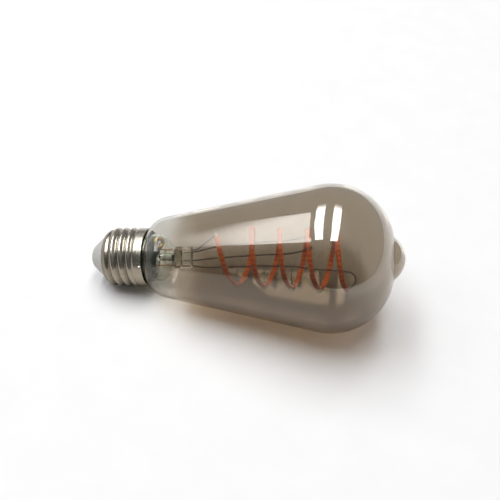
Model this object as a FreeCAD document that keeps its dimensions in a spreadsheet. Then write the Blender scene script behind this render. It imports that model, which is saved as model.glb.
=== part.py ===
"""Smart filament lamp: a long pear-shaped smoked glass envelope on an E27 screw cap.

The lamp lies along +X. The origin is the centre of the end face of the centre contact, and
the crown of the envelope is the far end. Everything inside the envelope hangs on the glass
stem, in a mount that is turned about the axis by one angle, mount_turn. In the mount's own
axes Z is "up" across the coil and -Y is its "front".
"""
import FreeCAD, Part
import math
import os

import Sketcher
from FreeCAD import Placement, Rotation, Vector

DIMENSIONS = [
    # alias, millimetres or degrees, what it is
    ("contact_radius", 4.3, "centre contact, over its rim"),
    ("contact_depth", 1.0, "centre contact, disc thickness"),
    ("contact_chamfer", 0.4, "centre contact, edge"),
    ("rivet_radius", 1.45, "hollow rivet behind the contact"),
    ("rivet_bore", 0.7, "bore that takes the live wire"),
    ("rivet_end", 3.4, "rivet's inner end, from the origin"),
    ("nose_start", 0.5, "insulator's nose ring, from the origin"),
    ("nose_radius", 4.8, "insulator's nose ring, outside"),
    ("nose_shoulder", 5.5, "insulator, where its cone starts"),
    ("cone_start", 1.3, "insulator's cone, from the origin"),
    ("lip_x", 6.9, "lower lip of the screw shell"),
    ("lip_radius", 10.9, "lower lip, outside"),
    ("insulator_wall", 1.5, "insulator thickness"),
    ("flange_radius", 11.2, "insulator's flange inside the shell"),
    ("flange_end", 9.4, "flange's inner end"),
    ("thread_pitch", 3.629, "seven turns to the inch"),
    ("thread_mean", 12.6, "mean radius of the rolled thread"),
    ("thread_wave", 0.5, "half the thread's depth"),
    ("shell_wall", 0.35, "sheet thickness of the screw shell"),
    ("skirt_x", 22.3, "where the plain skirt starts"),
    ("skirt_radius", 12.9, "skirt, outside"),
    ("rim_x", 25.8, "upper rim of the shell"),
    ("side_contact_x", 24.9, "solder point on the skirt"),
    ("side_contact_turn", 21.0, "solder point, degrees above the -Y side"),
    ("solder_radius", 0.9, "solder point"),
    ("solder_sink", 0.3, "solder centre below the skirt surface"),
    ("solder_gap", 0.01, "solder point's stand-off from the skirt"),
    ("glass_wall", 0.8, "envelope and stem wall"),
    ("neck_x", 21.6, "lower end of the envelope's neck"),
    ("neck_radius", 11.6, "neck, outside"),
    ("neck_hollow", 4.5, "hollow arc between neck and flare"),
    ("flare_x", 36.3, "centre of the flare arc, along the axis"),
    ("flare_height", 7.25, "centre of the flare arc, off the axis"),
    ("flare_radius", 11.0, "flare arc above the cap"),
    ("dome_x", 106.95, "centre of the dome arc, along the axis"),
    ("dome_height", 5.15, "centre of the dome arc, off the axis"),
    ("dome_radius", 26.85, "dome arc; widest radius is 32"),
    ("nipple_x", 127.3, "centre of the crown nipple"),
    ("nipple_radius", 11.0, "crown nipple"),
    ("nipple_hollow", 2.8, "hollow arc round the nipple"),
    ("cement_x", 22.4, "cement ring, lower end"),
    ("cement_end", 25.4, "cement ring, upper end"),
    ("cement_radius", 12.5, "cement ring, outside"),
    ("cement_slot", 1.0, "slot in the cement for the neutral wire"),
    ("cement_lap", 0.6, "cement ring's overlap onto the neck before the neck is cut from it"),
    ("mount_turn", 42.0, "degrees that the inner mount is turned about X"),
    ("bell_x", 21.7, "rim of the stem's bell"),
    ("bell_radius", 10.6, "bell, outside"),
    ("bell_bend_x", 31.2, "where the bell starts to close"),
    ("bell_shoulder", 4.0, "round shoulder of the bell"),
    ("bell_hollow", 3.0, "hollow arc into the stem tube"),
    ("tube_radius", 4.8, "stem tube, outside"),
    ("cavity_end", 38.7, "end of the hollow in the stem"),
    ("press_x", 40.8, "start of the flat press"),
    ("press_end", 45.5, "end of the flat press"),
    ("press_width", 9.6, "press, up"),
    ("press_thickness", 3.4, "press, front to back"),
    ("press_edge", 1.1, "round edge of the press"),
    ("exhaust_radius", 1.8, "exhaust tube, outside"),
    ("exhaust_bore", 1.1, "exhaust tube, bore"),
    ("exhaust_tip", 28.9, "sealed lower tip of the exhaust tube"),
    ("exhaust_cone", 2.4, "length of that tip"),
    ("lead_radius", 0.31, "leads and long supports"),
    ("fine_radius", 0.17, "fine filament hooks"),
    ("lead_up", 3.3, "upper lead in the press"),
    ("lead_down", -3.6, "lower lead in the press"),
    ("bore_gap", 0.03, "gap round a wire in its bore"),
    ("air_gap", 0.05, "gap between two parts that only just touch"),
    ("blind_depth", 1.0, "press glass below the foot of a support wire"),
    ("hook_gap", 0.25, "gap between the strip and the loop of a hook"),
    ("weld_x", 63.0, "sleeve welded on the long lead"),
    ("weld_length", 1.4, "length of that sleeve"),
    ("coil_radius", 12.5, "filament coil, to the strip's centre"),
    ("coil_pitch", 12.1, "advance for one turn"),
    ("coil_top", 72.4, "first full turn's top, along the axis"),
    ("coil_from", -307.0, "turn angle of the first end, degrees"),
    ("coil_to", 1252.0, "turn angle of the last end, degrees"),
    ("coil_stretch", 3.1, "extra advance in the first half turn"),
    ("coil_lean", 2.0, "degrees that the coil leans down to the crown"),
    ("coil_pivot", 89.2, "point of the axis that the coil leans about"),
    ("strip_width", 2.2, "filament strip, along the axis"),
    ("strip_depth", 1.5, "filament strip, across"),
    ("tab_length", 2.4, "metal tab on each filament end"),
    ("tab_width", 1.2, "tab width"),
    ("tab_depth", 0.3, "tab thickness"),
    ("housing_x", 9.6, "lower end of the driver housing"),
    ("housing_end", 28.2, "upper end of the driver housing"),
    ("housing_radius", 9.5, "driver housing, outside"),
    ("housing_wall", 0.7, "driver housing, wall"),
    ("board_depth", 1.0, "thickness of both boards"),
    ("radio_x", 26.8, "radio board, lower face"),
    ("radio_radius", 8.7, "radio board"),
    ("driver_x", 10.7, "driver board, lower edge"),
    ("driver_end", 25.6, "driver board, upper edge"),
    ("driver_width", 16.0, "driver board, width"),
    ("seat_depth", 1.5, "radio board's seat in the housing"),
    ("seat_lip", 0.5, "step that the radio board rests on"),
    ("foot_width", 1.2, "housing's inward foot"),
    ("radio_slot_width", 4.0, "slot in the radio board's edge"),
    ("radio_slot_depth", 0.8, "depth of that slot"),
    ("choke_core", 2.0, "ring choke, to the middle of its winding"),
    ("choke_winding", 0.9, "ring choke, winding"),
    ("neutral_radius", 0.18, "neutral wire"),
    ("neutral_lift", 0.4, "neutral wire's middle above the neck"),
    ("pin_radius", 0.32, "pins between the two boards"),
]

# Routes of the wires beyond the press, as (x, front, up) in the mount's axes.
LONG_LEAD_ROUTE = [(52.2, 0.0, -4.5), (63.7, 0.0, -4.0), (78.2, 0.0, -3.5), (91.2, 0.0, -3.6),
                   (101.7, 0.0, -4.9), (116.0, -0.3, -5.8), (117.8, -0.6, -8.6),
                   (117.2, -0.9, -11.0)]
SHORT_LEAD_RISE = (2.6, 0.2, 0.1)       # its first bend, from where it leaves the press
SHORT_LEAD_APPROACH = (3.4, 1.6, 1.9)   # its second bend, back from the filament's tab
UPPER_SUPPORT_ROUTE = [(56.7, -1.0, 4.9), (72.7, -1.6, 6.5), (86.2, -2.4, 7.4),
                       (93.7, -2.8, 8.7), (97.8, -3.1, 10.6)]
LOWER_SUPPORT_ROUTE = [(56.7, 1.8, -0.2), (73.7, 4.2, 1.1), (90.7, 6.8, 1.9),
                       (96.7, 8.6, 3.2), (99.8, 9.6, 5.3)]

# Turn angles of the coil that are held from below, and the long lead's height under each.
LONG_LEAD_HOOKS = [(-180.0, -4.0), (180.0, -3.5), (540.0, -3.6), (900.0, -4.95)]
UPPER_SUPPORT_HOOK = 716.0
LOWER_SUPPORT_HOOK = 790.0

# Driver board parts: x from the board's lower edge, up, side of the board, then sizes.
FRONT = -1
BACK = 1
BOXED_PARTS = [
    ("filter_capacitor", 6.2, -6.6, FRONT, (7.2, 4.4, 5.0)),
    ("bridge_rectifier", 0.8, -6.4, BACK, (4.6, 2.0, 3.8)),
    ("driver_chip", 8.2, -7.4, BACK, (4.9, 1.5, 3.9)),
]
ROUND_PARTS = {
    "bulk_capacitor": (2.6, 3.6, FRONT, 3.2, 10.5),
    "power_inductor": (7.4, 0.2, BACK, 2.8, 6.4),
    "fusible_resistor": (0.5, -3.2, FRONT, 1.1, 5.0),
}

# Radio board parts: lowest corner across the board, then spans.
RADIO_PARTS = [
    ("radio_module", (-3.2, -7.0), (1.6, 5.4, 2.4)),
    ("chip_antenna", (3.4, -5.6), (1.0, 1.6, 5.2)),
]
CHOKE_SPOT = (-1.6, 6.3)
PIN_SPOTS = (-2.5, 0.0, 2.5)

ORIGIN = Vector(0, 0, 0)
X_AXIS = Vector(1, 0, 0)
Y_AXIS = Vector(0, 1, 0)
Z_AXIS = Vector(0, 0, 1)
ALONG_X = Rotation(Y_AXIS, 90)          # turns a primitive's own Z axis onto +X
FULL_TURN = 360.0
LARGEST_SHARE = 0.45                    # of a straight run that one bend may take

doc = FreeCAD.newDocument("smart_filament_lamp")
sheet = doc.addObject("Spreadsheet::Sheet", "Sheet")
for row, (alias, number, note) in enumerate(DIMENSIONS, start=1):
    sheet.set(f"A{row}", alias)
    sheet.set(f"B{row}", str(number))
    sheet.set(f"C{row}", note)
    sheet.setAlias(f"B{row}", alias)
doc.recompute()

nodes = []


class Size:
    """A length or angle worked out from the sheet: its number and the expression for it."""

    def __init__(self, number, text):
        self.number = number
        self.text = text

    def __add__(self, other):
        other = as_size(other)
        return Size(self.number + other.number, f"({self.text} + {other.text})")

    def __sub__(self, other):
        other = as_size(other)
        return Size(self.number - other.number, f"({self.text} - {other.text})")

def as_size(value):
    """A plain number as a Size."""
    return value if isinstance(value, Size) else Size(float(value), str(float(value)))


def cell(alias):
    """The sheet's cell of that alias, as a Size."""
    return Size(float(sheet.get(alias)), f"Sheet.{alias}")


def mm(alias):
    """The sheet's cell of that alias, as a number."""
    return float(sheet.get(alias))


def keep(piece):
    """Notes a finished sub-part, which is written out under its Label."""
    nodes.append(piece)
    return piece


def mount_turn():
    """The turn of the inner mount about the lamp's axis."""
    return Placement(ORIGIN, Rotation(X_AXIS, -mm("mount_turn")))


# ---------------------------------------------------------------- helpers: sketched bodies

def origin_plane(body, role):
    """One of the body's own origin planes."""
    return next(part for part in body.Origin.OriginFeatures if part.Role == role)


def new_sketch(body, name, role="XY_Plane"):
    """A sketch on one of the body's own origin planes."""
    sketch = body.newObject("Sketcher::SketchObject", name)
    sketch.AttachmentSupport = [(origin_plane(body, role), "")]
    sketch.MapMode = "FlatFace"
    return sketch


def pin_number(sketch, kind, geometry, vertex, size):
    """Holds one coordinate of a vertex at a Size, or on the axis where it is zero."""
    size = as_size(size)
    on_axis = {"DistanceX": -2, "DistanceY": -1}[kind]
    if size.number == 0.0:
        sketch.addConstraint(Sketcher.Constraint("PointOnObject", geometry, vertex, on_axis))
        return
    index = sketch.addConstraint(Sketcher.Constraint(kind, -1, 1, geometry, vertex, size.number))
    sketch.setExpression(f"Constraints[{index}]", size.text)


def pin_vertex(sketch, geometry, vertex, place):
    """Holds a vertex at a pair of Sizes."""
    pin_number(sketch, "DistanceX", geometry, vertex, place[0])
    pin_number(sketch, "DistanceY", geometry, vertex, place[1])


def pin_radius(sketch, geometry, size):
    """Holds an arc's or circle's radius at a Size."""
    size = as_size(size)
    index = sketch.addConstraint(Sketcher.Constraint("Radius", geometry, size.number))
    sketch.setExpression(f"Constraints[{index}]", size.text)


def draw_polygon(sketch, corners):
    """A closed outline of straight lines, each corner held at its pair of Sizes."""
    spots = [Vector(as_size(x).number, as_size(y).number, 0) for x, y in corners]
    count = len(spots)
    first = sketch.GeometryCount
    for i, spot in enumerate(spots):
        sketch.addGeometry(Part.LineSegment(spot, spots[(i + 1) % count]), False)
    for i, corner in enumerate(corners):
        before = first + (i - 1) % count
        sketch.addConstraint(Sketcher.Constraint("Coincident", before, 2, first + i, 1))
        pin_vertex(sketch, first + i, 1, corner)


def turn_about_x(body, kind, sketch):
    """A full Revolution or Groove of the sketch about the lamp's axis."""
    feature = body.newObject(f"PartDesign::{kind}", f"{body.Label}_{kind.lower()}")
    feature.Profile = sketch
    feature.ReferenceAxis = (sketch, ["H_Axis"])
    feature.Angle = FULL_TURN
    sketch.Visibility = False
    return feature


def turned_body(label, corners):
    """A body of revolution about the lamp's axis from (x, radius) corners."""
    body = doc.addObject("PartDesign::Body", label)
    sketch = new_sketch(body, f"{label}_outline")
    draw_polygon(sketch, corners)
    turn_about_x(body, "Revolution", sketch)
    return body


# ---------------------------------------------------------------- helpers: primitives

def primitive(kind, label, place, **sizes):
    """A Part primitive with its sizes bound to the sheet."""
    piece = doc.addObject(f"Part::{kind}", label)
    for name, size in sizes.items():
        piece.setExpression(name, as_size(size).text)
    piece.Placement = place
    return piece


def block(label, low, spans):
    """A box by its lowest corner and its three spans, in the mount's axes."""
    place = mount_turn().multiply(Placement(Vector(*low), Rotation()))
    return primitive("Box", label, place, Length=spans[0], Width=spans[1], Height=spans[2])


def rod_along_x(label, start, radius, length):
    """A cylinder along +X from a start point, in the mount's axes."""
    place = mount_turn().multiply(Placement(Vector(*start), ALONG_X))
    return primitive("Cylinder", label, place, Radius=radius, Height=length)


def cut(label, base, *tools):
    """The base less each tool, one after another."""
    for i, tool in enumerate(tools):
        last = i == len(tools) - 1
        step = doc.addObject("Part::Cut", label if last else f"{label}_step_{i}")
        step.Base = base
        step.Tool = tool
        base = step
    return base


def shaped(label, shape, place=None):
    """A Part::Feature with a shape made by Part's own functions."""
    piece = doc.addObject("Part::Feature", label)
    piece.Shape = shape
    piece.Placement = place or Placement()
    return piece


# ---------------------------------------------------------------- helpers: wires

def bent_path(route, largest_bend):
    """Straight runs between the route's points, joined by tangent arcs."""
    edges = []
    start = route[0]
    for before, corner, after in zip(route, route[1:], route[2:]):
        back = (before - corner).normalize()
        onward = (after - corner).normalize()
        half_turn = (math.pi - back.getAngle(onward)) / 2
        shorter_run = min((before - corner).Length, (after - corner).Length)
        bend = min(largest_bend, LARGEST_SHARE * shorter_run / math.tan(half_turn))
        reach = bend * math.tan(half_turn)
        arc_start = corner + back * reach
        arc_end = corner + onward * reach
        inward = (back + onward).normalize()
        centre = corner + inward * (bend / math.cos(half_turn))
        arc_middle = centre - inward * bend
        edges.append(Part.LineSegment(start, arc_start).toShape())
        edges.append(Part.Arc(arc_start, arc_middle, arc_end).toShape())
        start = arc_end
    edges.append(Part.LineSegment(start, route[-1]).toShape())
    return Part.Wire(edges)


def bent_wire(points, radius, largest_bend=12.0):
    """A round wire along a route of (x, front, up) points in the mount's axes."""
    route = [Vector(x, -front, up) for x, front, up in points]
    path = bent_path(route, largest_bend)
    ring = Part.Wire(Part.makeCircle(radius, route[0], route[1] - route[0]))
    return path.makePipeShell([ring], True, False)


# ---------------------------------------------------------------- screw cap

def make_centre_contact():
    radius = cell("contact_radius")
    chamfer = cell("contact_chamfer")
    depth = cell("contact_depth")
    floor = depth - chamfer
    return turned_body("centre_contact", [
        (0, 0), (0, radius - chamfer), (chamfer, radius), (depth, radius),
        (depth, cell("rivet_radius")), (cell("rivet_end"), cell("rivet_radius")),
        (cell("rivet_end"), cell("rivet_bore")), (floor, cell("rivet_bore")), (floor, 0)])


def make_cap_insulator():
    depth = cell("contact_depth")
    wall = cell("insulator_wall")
    gap = cell("air_gap")
    hole = cell("rivet_radius") + gap
    seat = cell("contact_radius") + gap + gap
    lip_inside = cell("lip_radius") - cell("shell_wall") - gap - gap
    return turned_body("cap_insulator", [
        (depth, hole), (depth, seat), (cell("nose_start"), seat),
        (cell("nose_start"), cell("nose_radius")), (cell("cone_start"), cell("nose_shoulder")),
        (cell("lip_x"), lip_inside), (cell("lip_x") + wall, cell("flange_radius")),
        (cell("flange_end"), cell("flange_radius")),
        (cell("flange_end"), cell("flange_radius") - wall),
        (cell("lip_x") + wall, lip_inside - wall), (depth + wall, cell("nose_radius") - wall),
        (depth + wall, hole)])


def smooth_step(value, start, end):
    """0 before start, 1 after end, and a smooth rise between."""
    part = min(1.0, max(0.0, (value - start) / (end - start)))
    return part * part * (3 - 2 * part)


def shell_radius(x, angle, inset):
    """Radius of the rolled sheet at a point: lip, one right-hand thread, plain skirt."""
    lip_x = mm("lip_x")
    lip_end = lip_x + mm("thread_pitch")
    closing = math.sin(math.pi / 2 * min(1.0, (x - lip_x) / (lip_end - lip_x)))
    mean = mm("lip_radius") + (mm("thread_mean") - mm("lip_radius")) * closing
    skirt = smooth_step(x, mm("skirt_x") - 0.5 * mm("thread_pitch"), mm("skirt_x"))
    mean += (mm("skirt_radius") - mm("thread_mean")) * skirt
    height = mm("thread_wave") * smooth_step(x, lip_x, lip_end) * (1 - skirt)
    wave = math.cos(2 * math.pi * x / mm("thread_pitch") - angle)
    return mean + height * wave - inset


def rolled_surface(inset):
    """A periodic surface round the axis that follows shell_radius."""
    around = 48
    along = 54
    degree = 3
    spacing = 2 * math.pi / around
    widen = 3 / (2 + math.cos(spacing))      # a cubic spline runs inside its poles by this
    inner_knots = along - degree - 1
    knots = [i / (inner_knots + 1) for i in range(inner_knots + 2)]
    clamped = [0.0] * degree + knots + [1.0] * degree
    spots = [sum(clamped[i + 1:i + 1 + degree]) / degree for i in range(along)]
    poles = []
    for i in range(around):
        angle = i * spacing
        row = []
        for spot in spots:
            x = mm("lip_x") + (mm("rim_x") - mm("lip_x")) * spot
            radius = widen * shell_radius(x, angle, inset)
            row.append(Vector(x, radius * math.cos(angle), radius * math.sin(angle)))
        poles.append(row)
    surface = Part.BSplineSurface()
    surface.buildFromPolesMultsKnots(
        poles, [1] * (around + 1), [degree + 1] + [1] * inner_knots + [degree + 1],
        list(range(around + 1)), knots, True, False, degree, degree)
    return surface


def make_cap_shell():
    """The rolled sheet between two threaded surfaces, with the bore for the neutral wire."""
    outside = rolled_surface(0).toShape()
    inside = rolled_surface(mm("shell_wall")).toShape()
    faces = [outside, inside]
    for x in (mm("lip_x"), mm("rim_x")):
        rings = []
        for face in (outside, inside):
            rings.append(next(edge for edge in face.Edges if edge.isClosed()
                              and abs(edge.BoundBox.Center.x - x) < mm("air_gap")))
        faces.append(Part.makeRuledSurface(rings[0], rings[1]))
    shell = Part.makeShell(faces)
    shell.sewShape()
    solid = Part.makeSolid(shell)
    if solid.Volume < 0:
        solid.reverse()
    sheet_metal = shaped("cap_shell_sheet", solid)
    bore = side_contact_rod("cap_shell_bore", cell("lead_radius") + cell("air_gap"))
    return cut("cap_shell", sheet_metal, bore)


def side_contact_frame():
    """Placement of the side contact: its own Z axis points out of the skirt."""
    outward = Rotation(X_AXIS, 90 - mm("side_contact_turn"))
    return Placement(Vector(mm("side_contact_x"), 0, 0), outward)


def side_contact_rod(label, radius):
    """A cylinder from the axis outward through the side contact."""
    return primitive("Cylinder", label, side_contact_frame(), Radius=radius,
                     Height=cell("skirt_radius") + 1.0)


def make_side_contact_solder():
    centre = side_contact_frame().multVec(
        Vector(0, 0, mm("skirt_radius") - mm("solder_sink")))
    bead = primitive("Sphere", "solder_bead", Placement(centre, Rotation()),
                     Radius=cell("solder_radius"))
    skirt = primitive("Cylinder", "solder_skirt", Placement(ORIGIN, ALONG_X),
                      Radius=cell("skirt_radius") + cell("solder_gap"),
                      Height=cell("rim_x") + cell("solder_radius"))
    return cut("side_contact_solder", bead, skirt)


def make_basing_cement():
    """Cement between the neck and the skirt, slotted where the neutral wire runs."""
    ring = doc.addObject("PartDesign::Body", "cement_ring")
    sketch = new_sketch(ring, "cement_outline")
    inner = cell("neck_radius") - cell("cement_lap")
    outer = cell("cement_radius")
    draw_polygon(sketch, [
        (cell("cement_x"), inner), (cell("cement_end"), inner),
        (cell("cement_end"), outer), (cell("cement_x"), outer)])
    turn_about_x(ring, "Revolution", sketch)
    neck = doc.addObject("PartDesign::Body", "cement_neck")
    neck_sketch = new_sketch(neck, "cement_neck_outline")
    draw_envelope_outline(neck_sketch, as_size(0) - cell("bore_gap"))
    turn_about_x(neck, "Revolution", neck_sketch)
    reach = mm("side_contact_x") - mm("cement_x") + mm("cement_slot")
    slot_corner = Vector(-reach, -mm("cement_slot") / 2, mm("bell_radius"))
    slot_place = side_contact_frame().multiply(Placement(slot_corner, Rotation()))
    slot = primitive("Box", "cement_slot_box", slot_place, Length=reach + reach,
                     Width=cell("cement_slot"), Height=cell("bell_radius"))
    return cut("basing_cement", ring, neck, slot)


# ---------------------------------------------------------------- glass

def arc_between(centre, radius, start_angle, end_angle, clockwise):
    """An arc from one angle to another; the sketcher's arcs always run anticlockwise."""
    circle = Part.Circle(Vector(centre[0], centre[1], 0), Z_AXIS, radius)
    if clockwise:
        return Part.ArcOfCircle(circle, end_angle, start_angle)
    return Part.ArcOfCircle(circle, start_angle, end_angle)


def draw_envelope_outline(sketch, inset):
    """Half section of the envelope as tangent lines and arcs, all inset by one distance.

    Neck line, hollow arc, flare arc, cone line, dome arc, hollow arc, nipple arc, and back
    along the axis.
    """
    gap = inset.number
    neck_radius = mm("neck_radius") - gap
    hollow = mm("neck_hollow") + gap
    flare = mm("flare_radius") - gap
    dome = mm("dome_radius") - gap
    nipple_hollow = mm("nipple_hollow") + gap
    nipple = mm("nipple_radius") - gap
    flare_centre = (mm("flare_x"), mm("flare_height"))
    dome_centre = (mm("dome_x"), mm("dome_height"))
    nipple_centre = (mm("nipple_x"), 0.0)

    # the hollow arc touches the neck line and the flare arc
    hollow_rise = neck_radius + hollow - flare_centre[1]
    hollow_run = math.sqrt((hollow + flare) ** 2 - hollow_rise ** 2)
    hollow_centre = (flare_centre[0] - hollow_run, neck_radius + hollow)
    join_angle = math.atan2(hollow_rise, -hollow_run)

    # the cone is the outer tangent of the flare and the dome
    run = dome_centre[0] - flare_centre[0]
    rise = dome_centre[1] - flare_centre[1]
    lean = math.asin((dome - flare) / math.hypot(run, rise)) + math.atan2(rise, run)
    normal = lean + math.pi / 2

    # the second hollow arc touches the dome and the nipple
    span = nipple_centre[0] - dome_centre[0]
    drop = -dome_centre[1]
    apart = math.hypot(span, drop)
    to_dome = dome + nipple_hollow
    to_nipple = nipple + nipple_hollow
    along = (to_dome ** 2 - to_nipple ** 2 + apart ** 2) / (2 * apart)
    across = math.sqrt(to_dome ** 2 - along ** 2)
    valley = (dome_centre[0] + (along * span - across * drop) / apart,
              dome_centre[1] + (along * drop + across * span) / apart)
    dome_join = math.atan2(valley[1] - dome_centre[1], valley[0] - dome_centre[0])
    nipple_join = math.atan2(valley[1], valley[0] - nipple_centre[0])

    def on_arc(centre, radius, angle):
        return Vector(centre[0] + radius * math.cos(angle),
                      centre[1] + radius * math.sin(angle), 0)

    neck_start = Vector(mm("neck_x"), neck_radius, 0)
    crown = Vector(nipple_centre[0] + nipple, 0, 0)
    half = math.pi
    pieces = [
        Part.LineSegment(neck_start, Vector(hollow_centre[0], neck_radius, 0)),
        arc_between(hollow_centre, hollow, -half / 2, join_angle - half, False),
        arc_between(flare_centre, flare, join_angle, normal, True),
        Part.LineSegment(on_arc(flare_centre, flare, normal), on_arc(dome_centre, dome, normal)),
        arc_between(dome_centre, dome, normal, dome_join, True),
        arc_between(valley, nipple_hollow, dome_join + half, nipple_join + half, False),
        arc_between(nipple_centre, nipple, nipple_join, 0.0, True),
        Part.LineSegment(crown, Vector(mm("neck_x"), 0, 0)),
        Part.LineSegment(Vector(mm("neck_x"), 0, 0), neck_start),
    ]
    for piece in pieces:
        sketch.addGeometry(piece, False)
    neck, hollow_arc, flare_arc, cone, dome_arc, valley_arc, nipple_arc, axis, end = range(9)
    tangent = [(neck, 2, hollow_arc, 1), (hollow_arc, 2, flare_arc, 2), (flare_arc, 1, cone, 1),
               (cone, 2, dome_arc, 2), (dome_arc, 1, valley_arc, 1),
               (valley_arc, 2, nipple_arc, 2)]
    meeting = [(nipple_arc, 1, axis, 1), (axis, 2, end, 1), (end, 2, neck, 1)]
    for join in tangent:
        sketch.addConstraint(Sketcher.Constraint("Tangent", *join))
    for join in meeting:
        sketch.addConstraint(Sketcher.Constraint("Coincident", *join))
    sketch.addConstraint(Sketcher.Constraint("Horizontal", neck))
    pin_vertex(sketch, neck, 1, (cell("neck_x"), cell("neck_radius") - inset))
    pin_radius(sketch, hollow_arc, cell("neck_hollow") + inset)
    pin_vertex(sketch, flare_arc, 3, (cell("flare_x"), cell("flare_height")))
    pin_radius(sketch, flare_arc, cell("flare_radius") - inset)
    pin_vertex(sketch, dome_arc, 3, (cell("dome_x"), cell("dome_height")))
    pin_radius(sketch, dome_arc, cell("dome_radius") - inset)
    pin_radius(sketch, valley_arc, cell("nipple_hollow") + inset)
    pin_vertex(sketch, nipple_arc, 3, (cell("nipple_x"), 0))
    pin_radius(sketch, nipple_arc, cell("nipple_radius") - inset)
    pin_number(sketch, "DistanceY", axis, 1, 0)
    pin_vertex(sketch, axis, 2, (cell("neck_x"), 0))


def make_glass_envelope():
    body = doc.addObject("PartDesign::Body", "glass_envelope")
    outside = new_sketch(body, "envelope_outside")
    draw_envelope_outline(outside, Size(0.0, "0"))
    turn_about_x(body, "Revolution", outside)
    inside = new_sketch(body, "envelope_inside")
    draw_envelope_outline(inside, cell("glass_wall"))
    turn_about_x(body, "Groove", inside)
    return body


def bell_section(inset, end_x):
    """Half section of the stem's bell and tube, closed along the axis."""
    rim = Vector(mm("bell_x"), mm("bell_radius") - inset, 0)
    shoulder = mm("bell_shoulder") - inset
    hollow = mm("bell_hollow") + inset
    fall = mm("bell_radius") - mm("tube_radius")
    turn = math.acos(1 - fall / (shoulder + hollow))
    shoulder_centre = Vector(mm("bell_bend_x"), rim.y - shoulder, 0)
    hollow_centre = Vector(mm("bell_bend_x") + (shoulder + hollow) * math.sin(turn),
                           mm("tube_radius") - inset + hollow, 0)

    def on_shoulder(angle):
        return shoulder_centre + Vector(math.sin(angle), math.cos(angle), 0) * shoulder

    def on_hollow(angle):
        return hollow_centre - Vector(math.sin(angle), math.cos(angle), 0) * hollow

    tube_end = Vector(end_x, mm("tube_radius") - inset, 0)
    edges = [
        Part.LineSegment(rim, on_shoulder(0)),
        Part.Arc(on_shoulder(0), on_shoulder(turn / 2), on_shoulder(turn)),
        Part.Arc(on_hollow(turn), on_hollow(turn / 2), on_hollow(0)),
        Part.LineSegment(on_hollow(0), tube_end),
        Part.LineSegment(tube_end, Vector(end_x, 0, 0)),
        Part.LineSegment(Vector(end_x, 0, 0), Vector(rim.x, 0, 0)),
        Part.LineSegment(Vector(rim.x, 0, 0), rim),
    ]
    face = Part.Face(Part.Wire([edge.toShape() for edge in edges]))
    return face.revolve(ORIGIN, X_AXIS, FULL_TURN)


def press_ring(x):
    """The press's outline across the axis: a rectangle with round edges."""
    half_width = mm("press_width") / 2
    half_depth = mm("press_thickness") / 2
    edge = mm("press_edge")
    inner_y = half_depth - edge
    inner_z = half_width - edge
    bend = edge * math.sqrt(0.5)
    edges = []
    for side_y, side_z in ((1, 1), (-1, 1), (-1, -1), (1, -1)):
        centre = Vector(x, side_y * inner_y, side_z * inner_z)
        to_side = centre + Vector(0, side_y * edge, 0)
        to_top = centre + Vector(0, 0, side_z * edge)
        middle = centre + Vector(0, side_y * bend, side_z * bend)
        start, end = (to_side, to_top) if side_y == side_z else (to_top, to_side)
        if edges:
            edges.append(Part.LineSegment(edges[-1].toShape().Vertexes[-1].Point, start))
        edges.append(Part.Arc(start, middle, end))
    edges.append(Part.LineSegment(end, edges[0].StartPoint))
    return Part.Wire([edge.toShape() for edge in edges])


def press_wires():
    """Each wire's place in the press: its start along the axis, front and up."""
    blind = mm("press_x") + mm("blind_depth")
    return {
        "upper_lead": (mm("cavity_end"), 0.7, mm("lead_up")),
        "lower_lead": (mm("cavity_end"), 0.0, mm("lead_down")),
        "upper_support": (blind, -0.7, 2.3),
        "lower_support": (blind, 0.0, -1.4),
    }


def make_glass_stem():
    """Bell, tube and flat press in one piece of glass, with a bore for each wire."""
    outer = bell_section(0, mm("cavity_end"))
    inner = bell_section(mm("glass_wall"), mm("cavity_end"))
    tube_ring = Part.Wire(Part.makeCircle(mm("tube_radius"), Vector(mm("cavity_end"), 0, 0),
                                          X_AXIS))
    neck_down = Part.makeLoft([tube_ring, press_ring(mm("press_x"))], True, True)
    flat = Part.Face(press_ring(mm("press_x"))).extrude(
        Vector(mm("press_end") - mm("press_x"), 0, 0))
    glass = outer.cut(inner).fuse([neck_down, flat])
    for start, front, up in press_wires().values():
        bore = Part.makeCylinder(mm("lead_radius") + mm("bore_gap"), mm("press_end") - start + 1,
                                 Vector(start, -front, up), X_AXIS)
        glass = glass.cut(bore)
    return shaped("glass_stem", glass.removeSplitter(), mount_turn())


def make_exhaust_tube():
    """The exhaust tube under the press, its lower tip melted shut to a cone."""
    tip = cell("exhaust_tip")
    radius = cell("exhaust_radius")
    bore = cell("exhaust_bore")
    cone = cell("exhaust_cone")
    floor = tip + cone - (radius - bore)
    end = cell("cavity_end") - cell("air_gap")
    return turned_body("exhaust_tube", [
        (tip, 0), (tip + (radius - bore), bore), (tip + cone, radius), (end, radius),
        (end, bore), (tip + cone, bore), (floor, 0)])


# ---------------------------------------------------------------- leads and supports

def make_lead_in_wires():
    """Copper leads from the radio board through the hollow of the stem."""
    start_x = mm("radio_x") + mm("board_depth") + mm("air_gap")
    rods = []
    for name in ("upper_lead", "lower_lead"):
        end_x, front, up = press_wires()[name]
        rods.append(Part.makeCylinder(mm("lead_radius"), end_x - start_x,
                                      Vector(start_x, -front, up), X_AXIS))
    return shaped("lead_in_wires", Part.makeCompound(rods), mount_turn())


def make_dumet_seals():
    """The sealing wire of each lead where it runs through the press."""
    rods = []
    for name in ("upper_lead", "lower_lead"):
        start_x, front, up = press_wires()[name]
        rods.append(Part.makeCylinder(mm("lead_radius"), mm("press_end") - start_x,
                                      Vector(start_x, -front, up), X_AXIS))
    return shaped("dumet_seals", Part.makeCompound(rods), mount_turn())


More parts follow.
